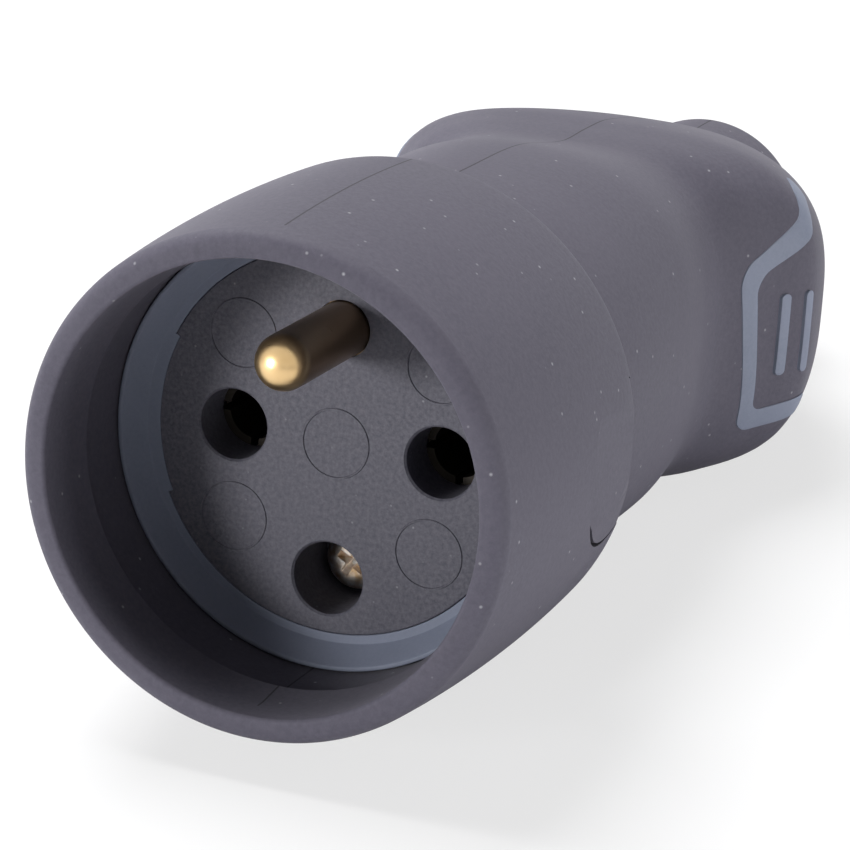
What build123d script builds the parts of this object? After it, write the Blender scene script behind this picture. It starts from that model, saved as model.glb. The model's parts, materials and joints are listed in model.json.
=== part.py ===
import os
from math import cos, hypot, radians, sin

from build123d import *

os.makedirs("parts", exist_ok=True)

# The origin is the centre of the face that a plug seats on. The plug comes from -Y,
# the cable leaves towards +Y and the earth pin stands at +Z. Lengths are millimetres.

# Plug interface
contact_pitch = 19.0
hole_radius = 3.1
hole_chamfer = 0.35
plug_pin_length = 19.0
plug_pin_radius = 2.4
earth_radius = 2.4
earth_reach = 14.0
earth_offset = 10.0
well_radius = 19.2
well_depth = 15.7

# Clearances
slide_gap = 0.15
seat_gap = 0.05
insert_gap = 0.3
key_gap = 0.2

# Front sleeve, a rubber barrel whose inner lip hugs the plug
mouth_wall = 2.2
crown_wall = 3.1
back_wall = 2.8
crown_place = 2.5
mouth_round = 1.3
edge_round = 0.4
back_round = 0.6
lip_depth = 6.8
lip_height = 0.4
lip_lead = 3.1
lip_back = 0.9
bore_step = 0.3
sleeve_flange = 2.0

# Seal ring round the face
ring_width = 2.6
ring_height = 2.2
ring_crest = 0.4
ring_band = 0.8
ring_depth = 2.4
ring_tip_round = 0.18
tongue_height = 13.8
tongue_reach = 0.45

# Contact insert
flange_thickness = 2.6
hole_depth = 4.6
chamber_play = 0.6
window_radius = 2.2
washer_margin = 1.0
screw_hole_radius = 3.2
head_depth = 5.0
screw_floor = 4.4
boss_radius = 4.2
boss_length = 14.0

# Contacts, pin and terminals
contact_wall = 1.05
slit_width = 0.7
slit_length = 10.0
pillar_side = 7.2
pillar_round = 0.8
pillar_length = 8.4
pillar_recess = 0.6
pillar_play = 0.4
wire_radius = 1.7
wire_depth = 6.8
terminal_screw_radius = 1.75
terminal_screw_recess = 0.6
terminal_screw_grip = 0.9
driver_slot_width = 0.8
driver_slot_depth = 1.1
spring_thickness = 0.4
spring_width = 2.6
spring_place = 2.4
pin_root_step = 0.25
pin_collar_radius = 3.6
pin_collar_thickness = 1.6

# Assembly screw with its washer and its threaded brass insert
screw_radius = 1.75
screw_head_radius = 2.75
screw_head_height = 2.1
screw_head_round = 0.8
recess_width = 0.9
recess_length = 3.4
recess_depth = 1.2
screw_tip = 1.0
thread_length = 8.0
nut_wall = 0.9
washer_radius = 3.2
washer_thickness = 0.8

# Contact cover with its cord cradle, and the cord clamp
cover_thickness = 2.0
cable_radius = 4.6
cradle_play = 0.7
cradle_wall = 2.0
clamp_run = 12.5
clamp_length = 9.0
clamp_parting = 0.8
clamp_play = 1.5
arm_width = 9.0
ear_width = 4.6
ear_height = 3.4
ear_overlap = 0.4
clamp_screw_radius = 1.4
clamp_screw_grip = 3.0
clamp_head_radius = 2.2
clamp_head_height = 1.4

# Rear handle: a hard core tube moulded into a rubber grip
core_wall = 1.2
core_tail = 3.0
collar_length = 6.4
collar_wall = 1.8
neck_wall = 1.3
room_gap = 0.5
neck_run = 12.6
neck_squareness = 2.2
dome_run = 4.0
dome_narrowing = 0.5
dome_squareness = 2.4
waist_run = 12.0
waist_wall = 3.4
waist_squareness = 3.0
flare_run = 6.0
flare_reach = 2.9
flare_squareness = 3.5
grip_run = 6.0
grip_overhang = 0.1
grip_sink = 0.2
grip_squareness = 3.3
shoulder_run = 12.0
shoulder_drop = 2.9
shoulder_sink = 2.1
shoulder_squareness = 2.65
heel_run = 6.0
heel_drop = 3.3
heel_sink = 1.9
heel_squareness = 2.35
tail_run = 6.0
tail_step = 0.4
outlet_wall = 5.7
outlet_run = 10.0
outlet_round = 1.3
outlet_lap = 6.0
taper_run = 26.0
bore_play = 1.0
outline_steps = 12
handle_steps = 36
fit_tolerance = 0.002

# Side keys that lock the sleeve to the handle
key_radius = 7.3
key_length = 10.9
key_sink = 0.9
key_floor = 0.7
key_root = 0.45
cut_margin = 1.0

# Cable seal in the outlet
seal_wall = 3.2
seal_length = 11.0
seal_recess = 0.8
seal_play = 0.2

# Soft grip inlays, seen from the side as (run behind the waist, height)
inlay_floor = 1.6
inlay_rise = 0.1
frame_width = 1.7
foot_width = 2.2
frame_round = 1.6
foot_lift = 0.15
frame_top = (3.9, 5.6)
frame_foot = (4.8, 9.0)
ear_start = (10.9, 9.5)
ear_bend = (12.3, 11.6)
ear_tip = (17.0, 13.2)
foot_tip = (16.0, 7.9)
rib_width = 1.1
rib_rise = 0.45
rib_length = 8.2
rib_place = 8.2
rib_spacing = 2.8
rib_sink = 0.4

# Depths along the axis that follow from the sizes above
flange_back = ring_depth + flange_thickness
collar_front = flange_back + sleeve_flange
sleeve_back = collar_front + collar_length
contact_front = hole_depth + seat_gap
bore_end = plug_pin_length + 1.0
contact_back = bore_end + pillar_length
pillar_middle = bore_end + pillar_length / 2
insert_back = contact_back + pillar_recess
cover_back = insert_back + cover_thickness
core_back = cover_back + core_tail
clamp_front = cover_back + clamp_run
clamp_back = clamp_front + clamp_length
room_back = clamp_back + clamp_play
head_seat = head_depth + screw_head_height
slot_front = head_seat + screw_floor
boss_front = slot_front + washer_thickness + 2 * seat_gap
neck_place = sleeve_back + neck_run
dome_place = core_back + dome_run
waist_place = dome_place + waist_run
flare_place = waist_place + flare_run
grip_place = flare_place + grip_run
shoulder_place = grip_place + shoulder_run
heel_place = shoulder_place + heel_run
tail_place = heel_place + tail_run
outlet_back = tail_place + outlet_run
seal_back = outlet_back - seal_recess
seal_front = seal_back - seal_length

# Radii and half widths that follow from the sizes above
bore_radius = well_radius + bore_step
ring_radius = bore_radius - slide_gap
face_radius = ring_radius - ring_width
flange_radius = bore_radius - insert_gap
collar_bore = bore_radius - insert_gap / 2
collar_radius = collar_bore - slide_gap
core_radius = collar_radius - collar_wall
core_bore = core_radius - core_wall
insert_radius = core_bore - insert_gap
screw_offset = core_bore - washer_radius - washer_margin
screw_reach = insert_radius - terminal_screw_recess - earth_offset
terminal_screw_length = screw_reach - terminal_screw_grip
neck_radius = core_radius + neck_wall
mouth_radius = well_radius + mouth_wall
crown_radius = well_radius + crown_wall
back_radius = well_radius + back_wall
shank_radius = earth_radius + pin_root_step
contact_bore = plug_pin_radius + seat_gap
contact_radius = contact_bore + contact_wall
chamber_radius = contact_radius + chamber_play
cradle_radius = cable_radius + cradle_play
cradle_outer = cradle_radius + cradle_wall
ear_middle = cradle_outer + ear_width / 2 - ear_overlap
clamp_reach = clamp_parting + ear_height + clamp_head_height
room_radius = hypot(ear_middle + clamp_head_radius, clamp_reach) + room_gap
waist_half = room_radius + waist_wall
grip_half = crown_radius + grip_overhang
grip_height = waist_half - grip_sink
shoulder_half = grip_half - shoulder_drop
shoulder_height = grip_height - shoulder_sink
outlet_radius = cable_radius + outlet_wall
outlet_bore = cable_radius + bore_play
seal_radius = cable_radius + seal_wall

terminals = ((contact_pitch / 2, 0), (-contact_pitch / 2, 0), (0, earth_offset))


def across(depth):
    """A plane square to the axis that faces the plug: its x is X, its y is Z."""
    return Plane.XZ.offset(-depth)


def turned(points, place=(0, 0), tip=None):
    """Turn an outline of (radius, depth) points about the line along Y at (x, z) place."""
    base = Plane((place[0], 0, place[1]))
    with BuildPart() as shape:
        with BuildSketch(base):
            with BuildLine():
                if tip:
                    JernArc(start=points[-1], tangent=(0, -1), radius=tip, arc_size=-90)
                    Polyline((points[-1][0] - tip, points[-1][1] - tip), *points)
                else:
                    Polyline(*points, close=True)
            make_face()
        revolve(axis=Axis((place[0], 0, place[1]), (0, 1, 0)))
    return shape.part


def tube(outer, inner, front, back, place=(0, 0)):
    """A plain tube along Y."""
    return turned([(inner, front), (outer, front), (outer, back), (inner, back)], place)


def rod(radius, front, back, place=(0, 0)):
    """A plain round bar along Y."""
    return turned([(0, front), (radius, front), (radius, back), (0, back)], place)


# Front sleeve and its barrel form
def barrel_form():
    """The crowned outside of the barrel as one solid."""
    with BuildPart() as form:
        with BuildSketch(Plane.XY) as wall:
            with BuildLine():
                mouth_point = (mouth_radius, -well_depth)
                back_point = (back_radius, sleeve_back)
                ThreePointArc(mouth_point, (crown_radius, crown_place), back_point)
                Polyline(back_point, (0, sleeve_back), (0, -well_depth), mouth_point)
            make_face()
            fillet(wall.vertices().sort_by_distance(Vector(*mouth_point))[0], mouth_round)
            fillet(wall.vertices().sort_by_distance(Vector(*back_point))[0], back_round)
        revolve(axis=Axis.Y)
    return form.part


def key_prism(gap, inner, front, outer):
    """A lens-shaped prism on each side, cut off square at a front and at the sleeve's back."""
    middle = sleeve_back - key_length + key_radius
    reach = sleeve_back + gap - front
    with BuildPart() as prism:
        with BuildSketch(Plane.YZ.offset(inner)):
            with Locations((middle, 0)):
                Circle(key_radius + gap)
            with Locations((front + reach / 2, 0)):
                Rectangle(reach, 4 * key_radius, mode=Mode.INTERSECT)
        extrude(amount=outer - inner)
        mirror(about=Plane.YZ)
    return prism.part


key_front = sleeve_back - key_length
key_seat = bore_radius + key_floor
key_top = crown_radius - key_sink
lip_place = lip_depth - well_depth

with BuildPart() as front_sleeve:
    add(barrel_form())
    with BuildSketch(Plane.XY) as hollow:
        with BuildLine():
            Polyline(
                (0, -well_depth),
                (well_radius, -well_depth),
                (well_radius, lip_place - lip_lead),
                (well_radius - lip_height, lip_place),
                (bore_radius, lip_place + lip_back),
                (bore_radius, flange_back),
                (face_radius - insert_gap, flange_back),
                (face_radius - insert_gap, collar_front),
                (collar_bore, collar_front),
                (collar_bore, sleeve_back),
                (0, sleeve_back),
                close=True,
            )
        make_face()
    revolve(axis=Axis.Y, mode=Mode.SUBTRACT)
    mouth_edges = front_sleeve.edges().filter_by(GeomType.CIRCLE).group_by(Axis.Y)[0]
    fillet(mouth_edges.sort_by(SortBy.RADIUS)[0], edge_round)
    notch = key_prism(key_gap, key_seat, key_front - key_gap, crown_radius + cut_margin)
    add(notch, mode=Mode.SUBTRACT)
    add(key_prism(key_gap, core_radius, collar_front, crown_radius), mode=Mode.SUBTRACT)
front_sleeve.part.label = "front_sleeve"
export_step(front_sleeve.part, "parts/front_sleeve.step")


# Seal ring with two tongues that index it on the insert
def tongues(inner, height):
    """The two side sectors between the face's rim and a smaller radius."""
    with BuildPart() as sectors:
        with BuildSketch(across(0)):
            Circle(face_radius + 2 * seat_gap)
            Circle(inner, mode=Mode.SUBTRACT)
            Rectangle(3 * face_radius, height, mode=Mode.INTERSECT)
        extrude(amount=-ring_depth)
    return sectors.part


with BuildPart() as seal_ring:
    with BuildSketch(Plane.XY) as lip:
        with BuildLine():
            Polyline(
                (face_radius + seat_gap, ring_depth),
                (face_radius + seat_gap, 0),
                (face_radius + ring_band, 0),
                (ring_radius - ring_crest, -ring_height),
                (ring_radius, -ring_height),
                (ring_radius, ring_depth),
                close=True,
            )
        make_face()
        crest = lip.vertices().group_by(Axis.Y)[0]
        fillet(crest, ring_tip_round)
    revolve(axis=Axis.Y)
    add(tongues(face_radius - tongue_reach + seat_gap, tongue_height - 2 * seat_gap))
seal_ring.part.label = "seal_ring"
export_step(seal_ring.part, "parts/seal_ring.step")

# Contact insert: face disc, flange, and a housing with three terminal chambers
boss_slot = boss_radius + insert_gap
pocket_side = pillar_side + pillar_play

with BuildPart() as contact_insert:
    with BuildSketch(Plane.XY):
        with BuildLine():
            Polyline(
                (0, 0),
                (face_radius, 0),
                (face_radius, ring_depth),
                (flange_radius, ring_depth),
                (flange_radius, flange_back),
                (insert_radius, flange_back),
                (insert_radius, insert_back),
                (0, insert_back),
                close=True,
            )
        make_face()
    revolve(axis=Axis.Y)
    add(tongues(face_radius - tongue_reach, tongue_height), mode=Mode.SUBTRACT)
    with BuildSketch(across(0)):
        with Locations(*terminals[:2]):
            Circle(hole_radius)
    extrude(amount=-hole_depth, mode=Mode.SUBTRACT)
    with BuildSketch(across(0)):
        with Locations((0, -screw_offset)):
            Circle(screw_hole_radius)
    extrude(amount=-head_seat, mode=Mode.SUBTRACT)
    front_rims = contact_insert.edges().filter_by(GeomType.CIRCLE).group_by(Axis.Y)[0]
    chamfer([rim for rim in front_rims if rim.radius < face_radius / 2], hole_chamfer)
    with BuildSketch(across(0)):
        with Locations((0, earth_offset)):
            Circle(shank_radius + seat_gap)
    extrude(amount=-hole_depth, mode=Mode.SUBTRACT)
    with BuildSketch(across(0)):
        with Locations((0, -screw_offset)):
            Circle(screw_radius + slide_gap)
    extrude(amount=-slot_front, mode=Mode.SUBTRACT)
    with BuildSketch(across(hole_depth)):
        with Locations(*terminals):
            Circle(chamber_radius)
    extrude(amount=hole_depth - bore_end, mode=Mode.SUBTRACT)
    with BuildSketch(across(bore_end - seat_gap)):
        with Locations(*terminals):
            RectangleRounded(pocket_side, pocket_side, pillar_round)
    extrude(amount=bore_end - seat_gap - insert_back, mode=Mode.SUBTRACT)
    with BuildSketch(across(slot_front)):
        with Locations((0, -screw_offset)):
            Circle(boss_slot)
        with Locations((0, -screw_offset - boss_slot)):
            Rectangle(2 * boss_slot, 2 * boss_slot)
    extrude(amount=slot_front - insert_back, mode=Mode.SUBTRACT)
    with BuildSketch(Plane.YZ.offset(contact_pitch / 2)):
        with Locations((pillar_middle, 0)):
            Circle(window_radius)
    extrude(amount=insert_radius, mode=Mode.SUBTRACT)
    with BuildSketch(Plane.YZ.offset(-contact_pitch / 2)):
        with Locations((pillar_middle, 0)):
            Circle(window_radius)
    extrude(amount=-insert_radius, mode=Mode.SUBTRACT)
    with BuildSketch(Plane.XY.offset(earth_offset)):
        with Locations((0, pillar_middle)):
            Circle(window_radius)
    extrude(amount=insert_radius, mode=Mode.SUBTRACT)
contact_insert.part.label = "contact_insert"
export_step(contact_insert.part, "parts/contact_insert.step")


# Contacts and earth pin, each with its pillar terminal at the back
def pillar(place, face):
    """A terminal block with a wire bore from behind and a screw bore from one side."""
    with BuildPart() as block:
        with BuildSketch(across(bore_end)):
            with Locations(place):
                RectangleRounded(pillar_side, pillar_side, pillar_round)
        extrude(amount=-pillar_length)
        with BuildSketch(across(contact_back)):
            with Locations(place):
                Circle(wire_radius)
        extrude(amount=wire_depth, mode=Mode.SUBTRACT)
        with BuildSketch(face):
            Circle(terminal_screw_radius + seat_gap)
        extrude(amount=pillar_side, mode=Mode.SUBTRACT)
    return block.part


def side_plane(place, outward):
    """A plane through a pillar's middle that faces the housing's wall."""
    return Plane((place[0], pillar_middle, place[1]), x_dir=(0, 1, 0), z_dir=outward)


def socket_contact(place, outward):
    """A turned sleeve contact, slit crosswise from the front, with its pillar."""
    with BuildPart() as contact:
        add(tube(contact_radius, contact_bore, contact_front, bore_end, place))
        with BuildSketch(across(contact_front)):
            with Locations(place):
                Rectangle(slit_width, 3 * contact_radius)
                Rectangle(3 * contact_radius, slit_width)
        extrude(amount=-slit_length, mode=Mode.SUBTRACT)
        add(pillar(place, side_plane(place, outward)))
    return contact.part


live_contact = socket_contact(terminals[0], (1, 0, 0))
live_contact.label = "live_contact"
export_step(live_contact, "parts/live_contact.step")

neutral_contact = socket_contact(terminals[1], (-1, 0, 0))
neutral_contact.label = "neutral_contact"
export_step(neutral_contact, "parts/neutral_contact.step")

with BuildPart() as earth_pin:
    add(
        turned(
            [
                (0, bore_end),
                (shank_radius, bore_end),
                (shank_radius, contact_front + pin_collar_thickness),
                (pin_collar_radius, contact_front + pin_collar_thickness),
                (pin_collar_radius, contact_front),
                (shank_radius, contact_front),
                (shank_radius, 0),
                (earth_radius, 0),
                (earth_radius, earth_radius - earth_reach),
            ],
            terminals[2],
            tip=earth_radius,
        )
    )
    add(pillar(terminals[2], side_plane(terminals[2], (0, 0, 1))))
earth_pin.part.label = "earth_pin"
export_step(earth_pin.part, "parts/earth_pin.step")

# Split spring rings that squeeze the contacts
spring_front = contact_front + spring_place
spring_back = spring_front + spring_width
spring_inner = contact_radius + seat_gap
with BuildPart() as contact_springs:
    for place in terminals[:2]:
        add(tube(spring_inner + spring_thickness, spring_inner, spring_front, spring_back, place))
    with BuildSketch(across(spring_front)):
        with Locations(*[(x, z + contact_radius) for x, z in terminals[:2]]):
            Rectangle(slit_width, contact_radius)
    extrude(amount=-spring_width, mode=Mode.SUBTRACT)
contact_springs.part.label = "contact_springs"
export_step(contact_springs.part, "parts/contact_springs.step")


# Terminal screws, one from the side of each pillar
def terminal_screw(place, outward):
    """A grub screw whose slotted end faces the housing's window."""
    with BuildPart() as screw:
        with BuildSketch(side_plane(place, outward).offset(terminal_screw_grip)):
            Circle(terminal_screw_radius)
        extrude(amount=terminal_screw_length)
        chamfer(screw.edges().filter_by(GeomType.CIRCLE), driver_slot_width / 4)
        with BuildSketch(side_plane(place, outward).offset(screw_reach)):
            Rectangle(3 * terminal_screw_radius, driver_slot_width)
        extrude(amount=-driver_slot_depth, mode=Mode.SUBTRACT)
    return screw.part


with BuildPart() as terminal_screws:
    add(terminal_screw(terminals[0], (1, 0, 0)))
    add(terminal_screw(terminals[1], (-1, 0, 0)))
    add(terminal_screw(terminals[2], (0, 0, 1)))
terminal_screws.part.label = "terminal_screws"
export_step(terminal_screws.part, "parts/terminal_screws.step")

# Assembly screw, washer and threaded insert on one line below the contacts
screw_place = (0, -screw_offset)
thread_back = boss_front + thread_length

with BuildPart() as assembly_screw:
    add(rod(screw_head_radius, head_depth, head_seat, screw_place))
    head_rim = assembly_screw.edges().filter_by(GeomType.CIRCLE).group_by(Axis.Y)[0]
    fillet(head_rim, screw_head_round)
    add(rod(screw_radius, head_seat, thread_back + screw_tip, screw_place))
    with BuildSketch(across(head_depth)):
        with Locations(screw_place):
            Rectangle(recess_length, recess_width)
            Rectangle(recess_width, recess_length)
    extrude(amount=-recess_depth, mode=Mode.SUBTRACT)
assembly_screw.part.label = "assembly_screw"
export_step(assembly_screw.part, "parts/assembly_screw.step")

captive_washer = tube(
    washer_radius,
    screw_radius + seat_gap,
    slot_front + seat_gap,
    slot_front + seat_gap + washer_thickness,
    screw_place,
)
captive_washer.label = "captive_washer"
export_step(captive_washer, "parts/captive_washer.step")

nut_radius = screw_radius + seat_gap + nut_wall
screw_nut = tube(nut_radius, screw_radius + seat_gap, boss_front, thread_back, screw_place)
screw_nut.label = "screw_nut"
export_step(screw_nut, "parts/screw_nut.step")

# Handle core: a hard tube with the screw boss inside and a shoulder behind the cover
shoulder_front = cover_back + seat_gap
with BuildPart() as handle_core:
    with BuildSketch(Plane.XY):
        with BuildLine():
            Polyline(
                (core_bore, collar_front),
                (core_radius, collar_front),
                (core_radius, core_back),
                (room_radius, core_back),
                (room_radius, shoulder_front),
                (core_bore, shoulder_front),
                close=True,
            )
        make_face()
    revolve(axis=Axis.Y)
    with BuildSketch(across(boss_front)):
        with Locations(screw_place):
            Circle(boss_radius)
        with Locations((0, -screw_offset - boss_radius)):
            Rectangle(2 * boss_radius, 2 * boss_radius)
        Circle(core_radius - core_wall / 2, mode=Mode.INTERSECT)
    extrude(amount=-boss_length)
    add(rod(nut_radius, boss_front, thread_back, screw_place), mode=Mode.SUBTRACT)
    screw_end = thread_back + 2 * screw_tip
    add(rod(screw_radius + slide_gap, boss_front, screw_end, screw_place), mode=Mode.SUBTRACT)
handle_core.part.label = "handle_core"
export_step(handle_core.part, "parts/handle_core.step")

# Contact cover, with the arm and the cradle that hold the cable's sheath
clamp_middle = clamp_front + clamp_length / 2
clamp_screw_spots = ((ear_middle, clamp_middle), (-ear_middle, clamp_middle))

with BuildPart() as contact_cover:
    add(rod(insert_radius, insert_back, cover_back))
    with BuildSketch(across(insert_back)):
        with Locations(*terminals):
            RectangleRounded(pillar_side, pillar_side, pillar_round)
    extrude(amount=insert_back - contact_back - seat_gap)
    with BuildSketch(across(contact_back)):
        with Locations(*terminals):
            Circle(wire_radius + insert_gap)
    extrude(amount=contact_back - cover_back, mode=Mode.SUBTRACT)
    with BuildSketch(across(cover_back)):
        Circle(cradle_outer)
        Circle(cradle_radius, mode=Mode.SUBTRACT)
        with Locations((0, cradle_outer)):
            Rectangle(arm_width, 2 * cradle_outer, mode=Mode.INTERSECT)
    extrude(amount=cover_back - clamp_back)
    with BuildSketch(across(clamp_front)):
        Circle(cradle_outer)
        with Locations((0, ear_height / 2)):
            Rectangle(2 * ear_middle + ear_width, ear_height)
        Circle(cradle_radius, mode=Mode.SUBTRACT)
        with Locations((0, cradle_outer)):
            Rectangle(4 * cradle_outer, 2 * cradle_outer, mode=Mode.INTERSECT)
    extrude(amount=-clamp_length)
    with BuildSketch(Plane.XY):
        with Locations(*clamp_screw_spots):
            Circle(clamp_screw_radius + seat_gap)
    extrude(amount=clamp_screw_grip + seat_gap, mode=Mode.SUBTRACT)
contact_cover.part.label = "contact_cover"
export_step(contact_cover.part, "parts/contact_cover.step")

with BuildPart() as cord_clamp:
    with BuildSketch(across(clamp_front)):
        with Locations((0, -clamp_parting)):
            Circle(cradle_outer)
        with Locations((0, -clamp_parting - ear_height / 2)):
            Rectangle(2 * ear_middle + ear_width, ear_height)
        with Locations((0, -clamp_parting)):
            Circle(cradle_radius, mode=Mode.SUBTRACT)
        with Locations((0, -clamp_parting - cradle_outer)):
            Rectangle(4 * cradle_outer, 2 * cradle_outer, mode=Mode.INTERSECT)
    extrude(amount=-clamp_length)
    with BuildSketch(Plane.XY):
        with Locations(*clamp_screw_spots):
            Circle(clamp_screw_radius + slide_gap)
    extrude(amount=-2 * ear_height, mode=Mode.SUBTRACT)
cord_clamp.part.label = "cord_clamp"
export_step(cord_clamp.part, "parts/cord_clamp.step")

clamp_floor = -clamp_parting - ear_height
with BuildPart() as clamp_screws:
    for side in (1, -1):
        seat = Plane((side * ear_middle, clamp_middle, clamp_floor))
        with BuildSketch(seat):
            Circle(clamp_screw_radius)
        extrude(amount=clamp_screw_grip - clamp_floor)
        with BuildSketch(seat):
            Circle(clamp_head_radius)
        extrude(amount=-clamp_head_height)
        with BuildSketch(seat.offset(-clamp_head_height)):
            Rectangle(3 * clamp_head_radius, driver_slot_width)
        extrude(amount=clamp_head_height / 2, mode=Mode.SUBTRACT)
clamp_screws.part.label = "clamp_screws"
export_step(clamp_screws.part, "parts/clamp_screws.step")

# Rear handle: round neck, squarer waist, then wings that swell and close on the outlet
neck_height = neck_radius - dome_narrowing / 2
handle_sections = (
    (sleeve_back, neck_radius, neck_radius, 2.0),
    (neck_place, neck_radius, neck_radius, neck_squareness),
    (dome_place, neck_radius - dome_narrowing, neck_height, dome_squareness),
    (waist_place, waist_half, waist_half, waist_squareness),
    (flare_place, waist_half + flare_reach, waist_half, flare_squareness),
    (grip_place, grip_half, grip_height, grip_squareness),
    (shoulder_place, shoulder_half, shoulder_height, shoulder_squareness),
    (heel_place, shoulder_half - heel_drop, shoulder_height - heel_sink, heel_squareness),
    (tail_place, outlet_radius - tail_step, outlet_radius - tail_step, 2.0),
)


handle_run = tail_place - sleeve_back


def slope(station, column):
    """How fast a size changes along the axis at one of the stations."""
    before = handle_sections[max(station - 1, 0)]
    after = handle_sections[min(station + 1, len(handle_sections) - 1)]
    return (after[column] - before[column]) / (after[0] - before[0])


def handle_sizes(depth):
    """Half width, half height and squareness at a depth, eased between two stations."""
    station = max(index for index, section in enumerate(handle_sections[:-1]) if section[0] <= depth)
    near, far = handle_sections[station], handle_sections[station + 1]
    run = far[0] - near[0]
    share = (depth - near[0]) / run
    ease = share * share * (3 - 2 * share)
    sizes = []
    for column in (1, 2, 3):
        leave = slope(station, column) * run * share * (1 - share) ** 2
        arrive = slope(station + 1, column) * run * share ** 2 * (1 - share)
        sizes.append(near[column] + (far[column] - near[column]) * ease + leave - arrive)
    return sizes


def handle_row(depth, grow):
    """The right half of one section, a superellipse, from its lowest to its highest point."""
    half_width, half_height, squareness = handle_sizes(depth)
    points = []
    for step in range(outline_steps + 1):
        angle = radians(180 * step / outline_steps - 90)
        run = abs(cos(angle) / (half_width + grow)) ** squareness
        rise = abs(sin(angle) / (half_height + grow)) ** squareness
        reach = (run + rise) ** (-1 / squareness)
        side = reach * cos(angle) if 0 < step < outline_steps else 0
        points.append(Vector(side, depth, reach * sin(angle)))
    return points


def handle_form(grow):
    """The outside of the handle as one solid, grown evenly, with its side faces fitted to rows."""
    depths = [sleeve_back + handle_run * step / handle_steps for step in range(handle_steps + 1)]
    rows = [handle_row(depth, grow) for depth in depths]
    right = Face.make_surface_from_array_of_points(rows, tol=fit_tolerance, min_deg=3, max_deg=3)
    left = right.mirror(Plane.YZ)
    ends = []
    for index in (0, -1):
        ends.append(Face(Wire([side.edges().sort_by(Axis.Y)[index] for side in (right, left)])))
    return Solid(Shell([right, left, *ends]))


inlay_seat = room_radius + inlay_floor


def frame_prism():
    """The open frame of the inlay, drawn from the side and extruded across the handle."""
    front_foot = (waist_place + frame_foot[0], -frame_foot[1])
    foot_end = (waist_place + foot_tip[0], -foot_tip[1])
    with BuildPart() as prism:
        with BuildSketch(Plane.YZ.offset(inlay_seat)):
            with BuildLine():
                FilletPolyline(
                    (waist_place + ear_tip[0], ear_tip[1]),
                    (waist_place + ear_bend[0], ear_bend[1]),
                    (waist_place + ear_start[0], ear_start[1]),
                    (waist_place + frame_top[0], frame_top[1]),
                    front_foot,
                    foot_end,
                    radius=frame_round,
                )
            trace(line_width=frame_width)
            with BuildLine():
                Line((front_foot[0] + frame_round, front_foot[1] + foot_lift), foot_end)
            trace(line_width=foot_width)
        extrude(amount=2 * grip_half)
    return prism.part


def rib_prisms():
    """The two upright ribs inside the frame, drawn from the side and extruded across."""
    rib_middle = waist_place + rib_place + rib_spacing / 2
    with BuildPart() as prisms:
        with BuildSketch(Plane.YZ.offset(inlay_seat)):
            with Locations((rib_middle, -rib_sink)):
                with GridLocations(rib_spacing, 1, 2, 1):
                    SlotOverall(rib_length, rib_width, rotation=90)
        extrude(amount=2 * grip_half)
    return prisms.part


frame_shape = frame_prism()
rib_shape = rib_prisms()

with BuildPart() as rear_handle:
    add(handle_form(0))
    with BuildSketch(Plane.XY) as outlet:
        with BuildLine():
            Polyline(
                (0, tail_place - outlet_lap),
                (outlet_radius, tail_place - outlet_lap),
                (outlet_radius, outlet_back),
                (0, outlet_back),
                close=True,
            )
        make_face()
        fillet(outlet.vertices().sort_by_distance(Vector(outlet_radius, outlet_back))[0], outlet_round)
    revolve(axis=Axis.Y)
    add(rod(collar_radius, collar_front, sleeve_back))
    with BuildPart(mode=Mode.PRIVATE) as keys:
        add(key_prism(0, key_seat + seat_gap, key_front, key_top))
        add(key_prism(0, core_radius + key_root, collar_front, key_top))
        add(barrel_form(), mode=Mode.INTERSECT)
    add(keys.part)
    with BuildSketch(Plane.XY):
        with BuildLine():
            Polyline(
                (0, collar_front),
                (core_radius, collar_front),
                (core_radius, core_back),
                (room_radius, core_back),
                (room_radius, room_back),
                (outlet_bore, room_back + taper_run),
                (outlet_bore, seal_front),
                (seal_radius, seal_front),
                (seal_radius, outlet_back),
                (0, outlet_back),
                close=True,
            )
        make_face()
    revolve(axis=Axis.Y, mode=Mode.SUBTRACT)
    for shape in (frame_shape, rib_shape):
        add(shape, mode=Mode.SUBTRACT)
        add(shape.mirror(Plane.YZ), mode=Mode.SUBTRACT)
rear_handle.part.label = "rear_handle"
export_step(rear_handle.part, "parts/rear_handle.step")


def export_inlay(shape, rise, name):
    """Write an inlay that fills its channel, and its mirror image on the other side."""
    piece = shape & handle_form(rise)
    piece.label = name + "_right"
    export_step(piece, "parts/" + piece.label + ".step")
    other = piece.mirror(Plane.YZ)
    other.label = name + "_left"
    export_step(other, "parts/" + other.label + ".step")


export_inlay(frame_shape, inlay_rise, "grip_frame")
export_inlay(rib_shape, rib_rise, "grip_ribs")

# Cable seal, a bush in the outlet
cable_seal = tube(seal_radius, cable_radius + seal_play, seal_front, seal_back)
cable_seal.label = "cable_seal"
export_step(cable_seal, "parts/cable_seal.step")
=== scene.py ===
import json
import math

import bmesh
import bpy
from mathutils import Matrix, Vector


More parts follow.
